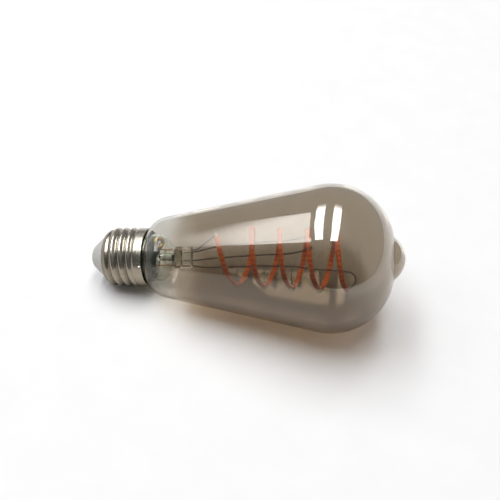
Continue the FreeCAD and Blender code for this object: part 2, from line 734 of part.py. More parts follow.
def coil_point(turn, radius):
    """A point of the coil, and its outward direction, at a turn angle in degrees.

    Angle 0 is the top; the coil winds to the front, a right-hand helix about +X.
    """
    start = mm("coil_from")
    half_turn_end = -180.0
    stretch = max(0.0, (half_turn_end - turn) / (half_turn_end - start))
    x = mm("coil_top") + mm("coil_pitch") * turn / FULL_TURN - mm("coil_stretch") * stretch ** 2
    angle = math.radians(turn)
    outward = Vector(0, -math.sin(angle), math.cos(angle))
    lean = Rotation(Y_AXIS, mm("coil_lean"))
    pivot = Vector(mm("coil_pivot"), 0, 0)
    point = pivot + lean.multVec(Vector(x, 0, 0) + outward * radius - pivot)
    return point, lean.multVec(outward)


def coil_direction(turn):
    """The coil's direction of travel at a turn angle."""
    ahead = coil_point(turn + 0.5, mm("coil_radius"))[0]
    behind = coil_point(turn - 0.5, mm("coil_radius"))[0]
    return (ahead - behind).normalize()


def make_led_filament():
    """One flexible strip swept along the coil, its wide side outward."""
    steps = 80
    start = mm("coil_from")
    sweep = mm("coil_to") - start
    spots = [coil_point(start + sweep * i / steps, mm("coil_radius"))[0]
             for i in range(steps + 1)]
    curve = Part.BSplineCurve()
    curve.interpolate(spots)
    path = Part.Wire(curve.toShape())
    centre, outward = coil_point(start, mm("coil_radius"))
    travel = coil_direction(start)
    wide = travel.cross(outward).normalize()
    section = Part.Ellipse(centre + wide * (mm("strip_width") / 2),
                           centre + outward * (mm("strip_depth") / 2), centre)
    strip = path.makePipeShell([Part.Wire(section.toShape())], True, True)
    return shaped("led_filament", strip, mount_turn())


def make_filament_end_tabs():
    """A flat metal tab beyond each end of the strip."""
    tabs = []
    for turn, side in ((mm("coil_from"), -1), (mm("coil_to"), 1)):
        centre, outward = coil_point(turn, mm("coil_radius"))
        travel = coil_direction(turn) * side
        wide = outward.cross(travel).normalize()
        start = centre + travel * mm("air_gap")
        corner = (start - wide * (mm("tab_width") / 2) - outward * (mm("tab_depth") / 2))
        tab = Part.makeBox(mm("tab_length"), mm("tab_width"), mm("tab_depth"))
        frame = FreeCAD.Matrix(travel.x, wide.x, outward.x, corner.x,
                               travel.y, wide.y, outward.y, corner.y,
                               travel.z, wide.z, outward.z, corner.z, 0, 0, 0, 1)
        tab.Placement = Placement(frame)
        tabs.append(tab)
    return shaped("filament_end_tabs", Part.makeCompound(tabs), mount_turn())


def tab_end(turn, side, inward):
    """(x, front, up) near a tab's free end, moved inward from its middle."""
    centre, outward = coil_point(turn, mm("coil_radius"))
    reach = mm("tab_length") - 2 * mm("lead_radius")
    spot = centre + coil_direction(turn) * side * reach - outward * inward
    return (spot.x, -spot.y, spot.z)


def make_short_lead_wire():
    """From the top of the press up to the first end of the filament."""
    lift = mm("tab_depth") / 2 + mm("lead_radius") + mm("bore_gap")
    end = tab_end(mm("coil_from"), -1, lift)
    start = (mm("press_end") + mm("air_gap"), *press_wires()["upper_lead"][1:])
    rise = tuple(a + b for a, b in zip(start, SHORT_LEAD_RISE))
    approach = tuple(a - b for a, b in zip(end, SHORT_LEAD_APPROACH))
    route = [start, rise, approach, end]
    return shaped("short_lead_wire", bent_wire(route, mm("lead_radius")), mount_turn())


def make_long_lead_wire():
    """Under the coil's axis to its last turn, then hooked back to the filament's end."""
    lift = mm("tab_depth") / 2 + mm("lead_radius") + mm("bore_gap")
    end = tab_end(mm("coil_to"), 1, lift)
    start_x = mm("press_end") + mm("air_gap")
    wire = bent_wire([(start_x, 0.0, mm("lead_down")), *LONG_LEAD_ROUTE, end],
                     mm("lead_radius"))
    weld_height = LONG_LEAD_ROUTE[1][2]
    weld = Part.makeCylinder(2 * mm("lead_radius"), mm("weld_length"),
                             Vector(mm("weld_x"), 0, weld_height), X_AXIS)
    return shaped("long_lead_wire", wire.fuse(weld), mount_turn())


def make_support_wire(name, beyond):
    """A wire from its place in the press, straight out of the glass and along its route."""
    start_x, front, up = press_wires()[name]
    straight_end = mm("press_end") + mm("blind_depth")
    wire = bent_wire([(start_x, front, up), (straight_end, front, up), *beyond],
                     mm("lead_radius"))
    return shaped(f"{name}_wire", wire, mount_turn())


def make_upper_support_wire():
    """From the press along the upper side of the coil, turned up under its fourth top."""
    return make_support_wire("upper_support", UPPER_SUPPORT_ROUTE)


def make_lower_support_wire():
    """From the press along the front of the coil, turned up to its fourth front."""
    return make_support_wire("lower_support", LOWER_SUPPORT_ROUTE)


def hook(turn, foot):
    """A fine wire from a foot point to a loop round the strip at a turn angle."""
    centre, outward = coil_point(turn, mm("coil_radius"))
    travel = coil_direction(turn)
    loop_radius = mm("strip_width") / 2 + mm("hook_gap") + mm("fine_radius")
    loop = Part.makeTorus(loop_radius, mm("fine_radius"), centre, travel)
    top = centre - outward * loop_radius
    shank = Part.makeCylinder(mm("fine_radius"), (top - foot).Length, foot, top - foot)
    return loop.fuse(shank)


def make_filament_hooks():
    """Hooks that hold the strip: four from the long lead, one from each support wire."""
    clear = mm("lead_radius") + mm("fine_radius") + mm("bore_gap")
    hooks = []
    for turn, height in LONG_LEAD_HOOKS:
        centre = coil_point(turn, mm("coil_radius"))[0]
        hooks.append(hook(turn, Vector(centre.x, 0, height - clear)))
    upper_x, upper_front, upper_up = UPPER_SUPPORT_ROUTE[-1]
    lower_x, lower_front, lower_up = LOWER_SUPPORT_ROUTE[-1]
    hooks.append(hook(UPPER_SUPPORT_HOOK, Vector(upper_x, -upper_front, upper_up + clear)))
    hooks.append(hook(LOWER_SUPPORT_HOOK, Vector(lower_x + clear, -lower_front, lower_up)))
    return shaped("filament_hooks", Part.makeCompound(hooks), mount_turn())


# ---------------------------------------------------------------- driver and radio

def make_driver_housing():
    """An open insulating sleeve with a seat for the radio board and a bore for the wire."""
    radius = cell("housing_radius")
    wall = cell("housing_wall")
    inside = radius - wall
    foot = inside - cell("foot_width")
    lip = inside - cell("seat_lip")
    seat = cell("radio_x") - cell("air_gap")
    seat_start = seat - cell("seat_depth")
    sleeve = turned_body("housing_sleeve", [
        (cell("housing_x"), foot), (cell("housing_x"), radius), (cell("housing_end"), radius),
        (cell("housing_end"), inside), (seat, inside), (seat, lip),
        (seat_start + cell("seat_lip"), lip), (seat_start, inside),
        (cell("housing_x") + wall, inside), (cell("housing_x") + wall, foot)])
    bore_place = side_contact_frame()
    bore_place.Base = Vector(neutral_start_x(), 0, 0)
    bore = primitive("Cylinder", "housing_bore", bore_place,
                     Radius=cell("neutral_radius") + cell("neutral_radius"),
                     Height=cell("housing_radius") + wall)
    return cut("driver_housing", sleeve, bore)


def make_radio_board():
    """A round board across the neck, with a slot in its edge."""
    disc = rod_along_x("radio_disc", (mm("radio_x"), 0, 0), cell("radio_radius"),
                       cell("board_depth"))
    depth = cell("board_depth")
    width = cell("radio_slot_width")
    corner = (mm("radio_x") - mm("board_depth"), -mm("radio_slot_width") / 2,
              -mm("radio_radius") - mm("radio_slot_depth"))
    edge_slot = block("radio_edge_slot", corner,
                      (depth + depth + depth, width,
                       cell("radio_slot_depth") + cell("radio_slot_depth")))
    return cut("radio_board", disc, edge_slot)


def make_driver_board():
    """The upright power board, in the plane of the axis."""
    low = (mm("driver_x"), -mm("board_depth") / 2, -mm("driver_width") / 2)
    length = cell("driver_end") - cell("driver_x")
    return block("driver_board", low, (length, cell("board_depth"), cell("driver_width")))


def radio_top():
    """The height just above the radio board's upper face."""
    return mm("radio_x") + mm("board_depth") + mm("bore_gap")


def make_radio_parts():
    """The boxed parts on the upper face of the radio board."""
    return [block(label, (radio_top(), *corner), spans) for label, corner, spans in RADIO_PARTS]


def make_choke_ring():
    """A small wound ring core on the radio board, turned halfway to the front."""
    height = radio_top() + mm("choke_core") + mm("choke_winding")
    stand = Vector(height, *CHOKE_SPOT)
    place = mount_turn().multiply(Placement(stand, Rotation(Z_AXIS, Vector(1, -1, 0))))
    return primitive("Torus", "choke_ring", place, Radius1=cell("choke_core"),
                     Radius2=cell("choke_winding"))


def make_boxed_parts():
    """The boxed parts on both sides of the driver board."""
    face = mm("board_depth") / 2 + mm("bore_gap")
    parts = []
    for label, x, up, side, spans in BOXED_PARTS:
        low_y = face if side == BACK else -face - spans[1]
        parts.append(block(label, (mm("driver_x") + x, low_y, up), spans))
    return parts


def round_part_start(label):
    """The middle of a round part's lower end, in the mount's axes."""
    x, up, side, radius, length = ROUND_PARTS[label]
    face = mm("board_depth") / 2 + mm("bore_gap")
    return (mm("driver_x") + x, side * (face + radius), up)


def make_round_part(label):
    """A round part that lies along the axis on one side of the driver board."""
    x, up, side, radius, length = ROUND_PARTS[label]
    return rod_along_x(label, round_part_start(label), radius, length)


def make_live_wire():
    """From the bottom of the contact's rivet up to the fusible resistor."""
    face = mm("contact_depth") - mm("contact_chamfer") + mm("air_gap")
    x, y, up = round_part_start("fusible_resistor")
    bend_x = (mm("rivet_end") + x) / 2
    route = [(face, 0, 0), (mm("rivet_end") + mm("rivet_radius"), 0, 0), (bend_x, -y, up),
             (x - mm("air_gap"), -y, up)]
    wire = bent_wire(route, mm("lead_radius"), mm("rivet_radius"))
    return shaped("live_wire", wire, mount_turn())


def neutral_start_x():
    """Where the neutral wire leaves the driver board."""
    return mm("driver_x") + mm("seat_depth")


def make_neutral_wire():
    """From the driver board out under the neck and up to the bore in the skirt."""
    turn = Rotation(X_AXIS, 90 - mm("side_contact_turn"))
    wire_radius = mm("neutral_radius")
    start_x = neutral_start_x()
    end_x = mm("side_contact_x")
    under_neck = mm("neck_radius") - 2 * mm("air_gap") - 2 * wire_radius
    over_neck = mm("neck_radius") + mm("neutral_lift")
    over_flare = over_neck + wire_radius
    rise_x = mm("neck_x") - mm("rivet_radius")
    board_side = mm("driver_width") / 2 - mm("rivet_radius")
    sides = [(start_x, board_side), (start_x, under_neck), (rise_x, under_neck),
             (mm("neck_x") - 2 * mm("air_gap"), over_neck), (mm("cement_x"), over_neck),
             (end_x, over_flare), (end_x, mm("skirt_radius"))]
    route = [turn.multVec(Vector(x, 0, radius)) for x, radius in sides]
    path = bent_path(route, mm("solder_radius"))
    ring = Part.Wire(Part.makeCircle(wire_radius, route[0], route[1] - route[0]))
    return shaped("neutral_wire", path.makePipeShell([ring], True, False))


def make_board_link_pins():
    """Three pins that carry the radio board on the driver board."""
    start_x = mm("driver_end") + mm("bore_gap")
    length = mm("radio_x") - mm("bore_gap") - start_x
    pins = [Part.makeCylinder(mm("pin_radius"), length, Vector(start_x, 0, up), X_AXIS)
            for up in PIN_SPOTS]
    return shaped("board_link_pins", Part.makeCompound(pins), mount_turn())


# ---------------------------------------------------------------- assembly

def build():
    keep(make_centre_contact())
    keep(make_cap_insulator())
    keep(make_cap_shell())
    keep(make_side_contact_solder())
    keep(make_basing_cement())
    keep(make_glass_envelope())
    keep(make_glass_stem())
    keep(make_exhaust_tube())
    keep(make_lead_in_wires())
    keep(make_dumet_seals())
    keep(make_short_lead_wire())
    keep(make_long_lead_wire())
    keep(make_upper_support_wire())
    keep(make_lower_support_wire())
    keep(make_filament_hooks())
    keep(make_led_filament())
    keep(make_filament_end_tabs())
    keep(make_driver_housing())
    keep(make_driver_board())
    keep(make_radio_board())
    for piece in make_radio_parts():
        keep(piece)
    keep(make_choke_ring())
    for label in ROUND_PARTS:
        keep(make_round_part(label))
    for piece in make_boxed_parts():
        keep(piece)
    keep(make_live_wire())
    keep(make_neutral_wire())
    keep(make_board_link_pins())


def check_document():
    """Stops if any object failed to recompute, or any sub-part isn't a valid solid."""
    for item in doc.Objects:
        bad = [word for word in item.State if word in ("Invalid", "Error")]
        if bad:
            raise RuntimeError(f"{item.Label}: {bad}")
    for piece in nodes:
        shape = piece.Shape
        if shape.isNull() or not shape.isValid() or not shape.Solids:
            raise RuntimeError(f"{piece.Label}: no valid solid")
        if min(solid.Volume for solid in shape.Solids) <= 0:
            raise RuntimeError(f"{piece.Label}: inside out")


build()
doc.recompute()
check_document()
os.makedirs("parts", exist_ok=True)
for node in nodes:
    node.Shape.exportStep(os.path.join("parts", f"{node.Label}.step"))
    print(f"{node.Label}: {node.Shape.Volume:.2f} mm3, {len(node.Shape.Solids)} solids")
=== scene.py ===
"""A filament light bulb with a screw cap and smoked glass, lying on a pale floor."""

import math

import bpy
import numpy as np
from mathutils import Matrix, Vector


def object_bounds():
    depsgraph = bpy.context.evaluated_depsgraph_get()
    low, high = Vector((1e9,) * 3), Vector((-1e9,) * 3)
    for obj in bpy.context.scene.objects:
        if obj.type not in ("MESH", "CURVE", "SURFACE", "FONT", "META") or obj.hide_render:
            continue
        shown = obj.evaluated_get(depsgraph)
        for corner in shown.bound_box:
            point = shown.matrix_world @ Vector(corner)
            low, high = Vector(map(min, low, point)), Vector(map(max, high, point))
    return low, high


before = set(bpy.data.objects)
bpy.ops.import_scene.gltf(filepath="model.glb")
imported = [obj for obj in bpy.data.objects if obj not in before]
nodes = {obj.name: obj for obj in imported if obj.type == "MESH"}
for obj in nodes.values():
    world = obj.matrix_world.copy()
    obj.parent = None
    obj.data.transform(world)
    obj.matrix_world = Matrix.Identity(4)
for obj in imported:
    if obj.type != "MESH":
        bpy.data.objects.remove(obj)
cad_low, cad_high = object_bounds()

# ---------------------------------------------------------------- camera and floor, in metres
LENS = 0.0612
SENSOR = 0.036
MOUNT_TURN = math.radians(42.0)
CROWN_TOWARDS = math.radians(11.88)
CAMERA_ROLL = math.radians(-0.31)
AIM_ALONG = 0.1095
AIM_RIGHT = 0.0371
AIM_BELOW = 0.00359
CAMERA_DEPTH = 0.3629
NEAREST_SEEN = 0.01
MILLIMETRES = 1000.0
FLOOR_SIZE = 2.4
FLOOR_MIDDLE = 0.07
FLOOR_GAP = 0.00005
STEEPEST_TILT = math.radians(30.0)
TILT_HALVINGS = 40

# ---------------------------------------------------------------- studio
LIGHT_HEIGHT = 2.4
LIGHT_RADIANCE = 7.0
BEHIND_DIM = 0.21
FRONT_DARK = 0.09
RIGHT_GLOW = 0.05
HIGH_GLOW = 0.16
BACKDROP = 1.1
WHITE = (1.0, 1.0, 1.0, 1.0)
# painted shade: darker colours the floor takes in reflections, near the bulb and farther in front
NEAR_REFLECTED_SHADE = (0.42, 0.385, 0.35)
FAR_REFLECTED_SHADE = (0.10, 0.09, 0.08)
LEAST_DIMMED = 0.3
# a light's fade: its shares along X and Y, and where their sum is dark and where bright
LEFT_FADE = (1.0, -0.45, 0.0, 0.55)
END_FADE = (0.0, -1.0, -1.0, -0.7)

# ---------------------------------------------------------------- bulb
BULB_AXIS = Vector((1.0, 0.0, 0.0))
COAT_START = 0.0385
COAT_FULL = 0.0490
FAR_COAT = 0.05
CLEAR_TINT = (0.93, 0.93, 0.90)
SMOKE_TINT = (0.585, 0.515, 0.415)
GLASS_IOR = 1.5
MIRROR_IOR = 1.85
CLEAR_SHADE = (0.87, 0.865, 0.855)
SMOKE_SHADE = (0.43, 0.345, 0.25)
COAT_DRIFT = 0.004
CHIPS_PER_TURN = 38.0
THREAD_VALLEY = 0.01205
THREAD_CREST = 0.0130

# ---------------------------------------------------------------- grained materials
FINE_GRAIN = 5.0
PLAIN = {}
METAL = {"Metallic": 1.0}
DULL = {"Specular_IOR_Level": 0.05}

# dark and light colour, grain, least and most roughness, bump, and the shader's own sockets
GRAINED_SURFACES = {
    "contact_metal": ((0.55, 0.52, 0.46), (0.78, 0.75, 0.68), 900.0, (0.22, 0.4), 0.15, METAL),
    "solder": ((0.45, 0.45, 0.44), (0.74, 0.74, 0.72), 1400.0, (0.18, 0.4), 0.3, METAL),
    "insulator_white": ((0.50, 0.49, 0.47), (0.57, 0.56, 0.54), 420.0, (0.3, 0.5), 0.12, PLAIN),
    # cement: its colour is painted this dark as shade of the unlit inside of the cap
    "cement": ((0.020, 0.022, 0.013), (0.036, 0.038, 0.024), 1500.0, (0.8, 0.95), 0.8, DULL),
    "copper_wire": ((0.20, 0.10, 0.055), (0.42, 0.22, 0.13), 1600.0, (0.3, 0.5), 0.1, METAL),
    "nickel_wire": ((0.045, 0.040, 0.034), (0.13, 0.115, 0.10), 1800.0, (0.35, 0.55), 0.1, METAL),
    "tab_steel": ((0.30, 0.28, 0.25), (0.55, 0.52, 0.48), 1500.0, (0.3, 0.5), 0.1, METAL),
    "housing_black": ((0.012, 0.013, 0.008), (0.022, 0.024, 0.015), 800.0, (0.4, 0.6), 0.2, DULL),
    "shield_can": ((0.20, 0.20, 0.18), (0.34, 0.34, 0.31), 1200.0, (0.25, 0.45), 0.1, METAL),
    "antenna_ceramic": ((0.62, 0.60, 0.55), (0.78, 0.76, 0.70), 1500.0, (0.4, 0.6), 0.1, PLAIN),
    "choke_copper": ((0.30, 0.19, 0.07), (0.60, 0.44, 0.20), 1800.0, (0.25, 0.45), 0.3, METAL),
    "capacitor_can": ((0.02, 0.025, 0.04), (0.045, 0.05, 0.075), 700.0, (0.3, 0.5), 0.1, PLAIN),
    "film_yellow": ((0.66, 0.47, 0.08), (0.80, 0.60, 0.14), 900.0, (0.35, 0.5), 0.1, PLAIN),
    "ferrite": ((0.03, 0.03, 0.03), (0.08, 0.08, 0.08), 1500.0, (0.5, 0.7), 0.2, PLAIN),
    "chip_black": ((0.012, 0.012, 0.014), (0.03, 0.03, 0.033), 1500.0, (0.45, 0.65), 0.15, PLAIN),
    "resistor_body": ((0.26, 0.38, 0.42), (0.38, 0.52, 0.56), 1200.0, (0.4, 0.6), 0.1, PLAIN),
    "wire_jacket": ((0.45, 0.05, 0.03), (0.62, 0.09, 0.05), 900.0, (0.4, 0.55), 0.1, PLAIN),
    "pin_metal": ((0.55, 0.50, 0.36), (0.82, 0.76, 0.58), 1500.0, (0.25, 0.4), 0.1, METAL),
}


# ================================================================ small helpers
def add_node(tree, kind, values=(), **settings):
    """A new shader node with its settings, and its inputs by name or number."""
    made = tree.nodes.new(kind)
    for name, value in settings.items():
        setattr(made, name, value)
    for name, value in dict(values).items():
        made.inputs[name].default_value = value
    return made


def join(tree, output, given):
    """Links an output to an input."""
    tree.links.new(output, given)


def blank_material(name, **sockets):
    """A node material with one Principled shader whose sockets are set by name."""
    material = bpy.data.materials.new(name)
    material.use_nodes = True
    tree = material.node_tree
    shader = next(n for n in tree.nodes if n.type == "BSDF_PRINCIPLED")
    for key, value in sockets.items():
        shader.inputs[key.replace("_", " ")].default_value = value
    return material, tree, shader


def place(tree, stretch=(1.0, 1.0, 1.0)):
    """The point on the object in metres, stretched along each axis."""
    where = add_node(tree, "ShaderNodeTexCoord")
    scaled = add_node(tree, "ShaderNodeMapping", {"Scale": stretch})
    join(tree, where.outputs["Object"], scaled.inputs["Vector"])
    return scaled.outputs["Vector"]


def noise(tree, point, scale, detail=3.0):
    """Smooth noise from 0 to 1 at a point."""
    made = add_node(tree, "ShaderNodeTexNoise", {"Scale": scale, "Detail": detail})
    join(tree, point, made.inputs["Vector"])
    return made.outputs["Fac"]


def ramp(tree, value, stops):
    """A colour ramp over value, from (place, colour) stops."""
    made = add_node(tree, "ShaderNodeValToRGB")
    elements = made.color_ramp.elements
    while len(elements) < len(stops):
        elements.new(1.0)
    for element, (at, colour) in zip(elements, stops):
        element.position = at
        element.color = (*colour, 1.0)
    join(tree, value, made.inputs["Fac"])
    return made.outputs["Color"]


def span(tree, value, low, high, from_low=0.0, from_high=1.0, smooth=False):
    """A value moved from one range to another, held at its ends."""
    made = add_node(
        tree,
        "ShaderNodeMapRange",
        {"From Min": from_low, "From Max": from_high, "To Min": low, "To Max": high},
    )
    made.interpolation_type = "SMOOTHSTEP" if smooth else "LINEAR"
    join(tree, value, made.inputs["Value"])
    return made.outputs["Result"]


def sums(tree, operation, first, second=None):
    """A math node on sockets or plain numbers."""
    made = add_node(tree, "ShaderNodeMath", operation=operation)
    for socket, given in zip(made.inputs, (first, second)):
        if isinstance(given, bpy.types.NodeSocket):
            join(tree, given, socket)
        elif given is not None:
            socket.default_value = given
    return made.outputs["Value"]


def blended(tree, share, first, second):
    """Two colours mixed by a share."""
    made = add_node(tree, "ShaderNodeMix", data_type="RGBA")
    sockets = (made.inputs[0], made.inputs[6], made.inputs[7])
    for socket, given in zip(sockets, (share, first, second)):
        if isinstance(given, bpy.types.NodeSocket):
            join(tree, given, socket)
        else:
            socket.default_value = (*given, 1.0) if isinstance(given, tuple) else given
    return made.outputs[2]


def raised(tree, shader, height, strength, distance):
    """A bump from a height, on the shader's normal."""
    bump = add_node(tree, "ShaderNodeBump", {"Strength": strength, "Distance": distance})
    join(tree, height, bump.inputs["Height"])
    join(tree, bump.outputs["Normal"], shader.inputs["Normal"])


def coordinates(tree):
    """The point's X, Y and Z on the object in metres."""
    where = add_node(tree, "ShaderNodeTexCoord")
    parts = add_node(tree, "ShaderNodeSeparateXYZ")
    join(tree, where.outputs["Object"], parts.inputs["Vector"])
    return parts.outputs["X"], parts.outputs["Y"], parts.outputs["Z"]


def axial(tree):
    """How far along the bulb's axis a point is, its distance from the axis, and its angle."""
    along, across, above = coordinates(tree)
    across_squared = sums(tree, "MULTIPLY", across, across)
    above_squared = sums(tree, "MULTIPLY", above, above)
    radius = sums(tree, "SQRT", sums(tree, "ADD", across_squared, above_squared))
    angle = sums(tree, "ARCTAN2", above, across)
    return along, radius, angle


def weighed(tree, first, share, second):
    """Two values added, the first by its share and the second by the rest."""
    first_part = sums(tree, "MULTIPLY", first, share)
    second_part = sums(tree, "MULTIPLY", second, 1.0 - share)
    return sums(tree, "ADD", first_part, second_part)


# ================================================================ materials
def grained(name, dark, light, grain, rough, bump, sockets):
    """A material whose colour, roughness and height follow two sizes of noise."""
    material, tree, shader = blank_material(name, **sockets)
    point = place(tree)
    coarse = noise(tree, point, grain, detail=4.0)
    fine = noise(tree, point, grain * FINE_GRAIN, detail=2.0)
    both = weighed(tree, coarse, 0.65, fine)
    join(tree, ramp(tree, both, [(0.3, dark), (0.7, light)]), shader.inputs["Base Color"])
    join(tree, span(tree, both, *rough, 0.3, 0.7), shader.inputs["Roughness"])
    raised(tree, shader, both, bump, 0.0002)
    return material


def nickel_plate():
    """Rolled nickel plate, lighter on the thread crests and darker in the valleys as painted shade,
    with fine marks round the cap.
    """
    material, tree, shader = blank_material("nickel_plate", Metallic=1.0, Anisotropic=0.35)
    _, radius, _ = axial(tree)
    cloud = noise(tree, place(tree), 260.0, detail=5.0)
    drawn = noise(tree, place(tree, (1.0, 0.08, 0.08)), 5200.0, detail=2.0)
    # Painted shade: the colour darkens from the thread crests down into the valleys.
    lit_crest_mask = span(tree, radius, 0.0, 1.0, THREAD_VALLEY, THREAD_CREST, smooth=True)
    tone = weighed(tree, lit_crest_mask, 0.6, cloud)
    colour = ramp(
        tree,
        tone,
        [(0.15, (0.38, 0.35, 0.29)), (0.55, (0.58, 0.545, 0.465)), (0.9, (0.68, 0.64, 0.55))],
    )
    join(tree, colour, shader.inputs["Base Color"])
    worn = weighed(tree, cloud, 0.5, drawn)
    join(tree, span(tree, worn, 0.16, 0.33, 0.3, 0.7), shader.inputs["Roughness"])
    raised(tree, shader, worn, 0.05, 0.0001)
    return material


def faces_out(tree):
    """How far a surface faces away from the bulb's axis: below zero on the far wall."""
    where = add_node(tree, "ShaderNodeTexCoord")
    outward = add_node(tree, "ShaderNodeVectorMath", {1: (0.0, 1.0, 1.0)}, operation="MULTIPLY")
    join(tree, where.outputs["Object"], outward.inputs[0])
    unit = add_node(tree, "ShaderNodeVectorMath", operation="NORMALIZE")
    join(tree, outward.outputs["Vector"], unit.inputs[0])
    facing = add_node(tree, "ShaderNodeVectorMath", operation="DOT_PRODUCT")
    join(tree, unit.outputs["Vector"], facing.inputs[0])
    join(tree, where.outputs["Normal"], facing.inputs[1])
    return facing.outputs["Value"]


def smoked_glass():
    """Clear glass by the cap that turns into a smoked half mirror along the bulb."""
    material, tree, shader = blank_material(
        "smoked_glass",
        Transmission_Weight=1.0,
        IOR=GLASS_IOR,
        Coat_IOR=MIRROR_IOR,
        Coat_Roughness=0.0,
    )
    along, _, _ = axial(tree)
    drift = noise(tree, place(tree), 34.0, detail=2.0)
    edge = sums(tree, "ADD", along, sums(tree, "MULTIPLY", drift, COAT_DRIFT))
    coated = span(tree, edge, 0.0, 1.0, COAT_START, COAT_FULL, smooth=True)
    shade = noise(tree, place(tree, (0.4, 1.0, 1.0)), 60.0, detail=3.0)
    darker, lighter = (tuple(share * c for c in SMOKE_TINT) for share in (0.95, 1.05))
    smoke = ramp(tree, shade, [(0.3, darker), (0.7, lighter)])
    tint = blended(tree, coated, CLEAR_TINT, smoke)
    join(tree, tint, shader.inputs["Base Color"])
    mirror = sums(tree, "MULTIPLY", coated, span(tree, faces_out(tree), FAR_COAT, 1.0, -0.1, 0.1))
    join(tree, mirror, shader.inputs["Coat Weight"])
    smudge = noise(tree, place(tree), 90.0, detail=4.0)
    join(tree, span(tree, smudge, 0.0, 0.010, 0.4, 0.75), shader.inputs["Roughness"])
    ripple = noise(tree, place(tree, (0.35, 1.0, 1.0)), 45.0, detail=1.0)
    raised(tree, shader, ripple, 0.04, 0.0004)
    let_lamps_through(tree, shader, coated)
    return material


def let_lamps_through(tree, shader, share):
    """Lets light through glass as a shadow, tinted by the share of the coat."""
    path = add_node(tree, "ShaderNodeLightPath")
    clear = add_node(tree, "ShaderNodeBsdfTransparent")
    join(tree, blended(tree, share, CLEAR_SHADE, SMOKE_SHADE), clear.inputs["Color"])
    mix = add_node(tree, "ShaderNodeMixShader")
    join(tree, path.outputs["Is Shadow Ray"], mix.inputs[0])
    join(tree, shader.outputs["BSDF"], mix.inputs[1])
    join(tree, clear.outputs["BSDF"], mix.inputs[2])
    output = next(n for n in tree.nodes if n.type == "OUTPUT_MATERIAL")
    join(tree, mix.outputs["Shader"], output.inputs["Surface"])


def clear_glass():
    """Pale glass of the stem, with a faint green edge and small seeds in it."""
    material, tree, shader = blank_material("clear_glass", Transmission_Weight=1.0, IOR=GLASS_IOR)
    seeds = noise(tree, place(tree, (0.5, 1.0, 1.0)), 420.0, detail=3.0)
    tint = ramp(tree, seeds, [(0.3, (0.86, 0.89, 0.83)), (0.6, (0.94, 0.955, 0.915))])
    join(tree, tint, shader.inputs["Base Color"])
    join(tree, span(tree, seeds, 0.0, 0.02, 0.45, 0.7), shader.inputs["Roughness"])
    raised(tree, shader, seeds, 0.12, 0.0003)
    let_lamps_through(tree, shader, 0.0)
    return material


def filament_silicone():
    """Amber silicone over a row of small chips."""
    material, tree, shader = blank_material("filament_silicone", Specular_IOR_Level=0.12)
    _, _, angle = axial(tree)
    row = sums(tree, "FRACT", sums(tree, "MULTIPLY", angle, CHIPS_PER_TURN / (2.0 * math.pi)))
    off_centre = sums(tree, "ABSOLUTE", sums(tree, "SUBTRACT", row, 0.5))
    chip = span(tree, off_centre, 1.0, 0.0, 0.12, 0.34, smooth=True)
    cloud = noise(tree, place(tree), 700.0, detail=3.0)
    tone = weighed(tree, chip, 0.35, cloud)
    colour = ramp(
        tree,
        tone,
        [(0.25, (0.60, 0.125, 0.008)), (0.5, (0.70, 0.165, 0.013)), (0.8, (0.80, 0.23, 0.025))],
    )
    join(tree, colour, shader.inputs["Base Color"])
    join(tree, span(tree, cloud, 0.35, 0.55, 0.3, 0.7), shader.inputs["Roughness"])
    raised(tree, shader, tone, 0.25, 0.0002)
    return material


def board_green():
    """Green solder mask with copper tracks under it, its greens darkened as painted shade of the
    unlit inside of the cap.
    """
    material, tree, shader = blank_material("board_green", **DULL)
    # Painted shade: these greens are darker than the mask's own colour, standing in for the shade
    # inside the cap.
    tracks = add_node(
        tree,
        "ShaderNodeTexBrick",
        {
            "Color1": (0.009, 0.018, 0.009, 1.0),
            "Color2": (0.012, 0.024, 0.012, 1.0),
            "Mortar": (0.025, 0.045, 0.022, 1.0),
            "Scale": 420.0,
            "Mortar Size": 0.035,
        },
    )
    join(tree, place(tree), tracks.inputs["Vector"])
    join(tree, tracks.outputs["Color"], shader.inputs["Base Color"])
    fine = noise(tree, place(tree), 1500.0)
    join(tree, span(tree, fine, 0.3, 0.5), shader.inputs["Roughness"])
    raised(tree, shader, tracks.outputs["Fac"], 0.2, 0.0001)
    return material


def floor_paper():
    """Matt white paper whose colour in mirror-like reflections is painted darker where it lies in
    front, as painted shade.
    """
    material, tree, shader = blank_material("floor_paper")
    fibres = noise(tree, place(tree), 60.0, detail=4.0)
    paper = ramp(tree, fibres, [(0.3, (0.86, 0.86, 0.865)), (0.7, (0.88, 0.88, 0.885))])
    # Painted shade: mirror-like rays see the floor in front and to the left in darker colours.
    path = add_node(tree, "ShaderNodeLightPath")
    along, across, _ = coordinates(tree)
    in_front = span(tree, across, 1.0, 0.0, -0.05, 0.15, smooth=True)
    to_left = span(tree, along, 1.0, 0.0, 0.11, 0.28, smooth=True)
    dimmed = span(tree, sums(tree, "MULTIPLY", in_front, to_left), LEAST_DIMMED, 1.0)
    share = sums(tree, "MULTIPLY", path.outputs["Is Glossy Ray"], dimmed)
    far = span(tree, across, 1.0, 0.0, -0.60, -0.15, smooth=True)
    reflected_shade = blended(tree, far, NEAR_REFLECTED_SHADE, FAR_REFLECTED_SHADE)
    join(tree, blended(tree, share, paper, reflected_shade), shader.inputs["Base Color"])
    join(tree, span(tree, fibres, 0.85, 0.95, 0.3, 0.7), shader.inputs["Roughness"])
    raised(tree, shader, fibres, 0.02, 0.0002)
    return material


def make_materials():
    """Every slot's finished material, by the slot's name."""
    made = {
        "nickel_plate": nickel_plate(),
        "smoked_glass": smoked_glass(),
        "clear_glass": clear_glass(),
        "filament_silicone": filament_silicone(),
        "board_green": board_green(),
    }
    for name, surface in GRAINED_SURFACES.items():
        made[name] = grained(name, *surface)
    return made


def dress_nodes():
    """Puts each slot's finished material on the CAD nodes that use it."""
    made = make_materials()
    for node in nodes.values():
        for slot in node.material_slots:
            slot.material = made[slot.material.name]


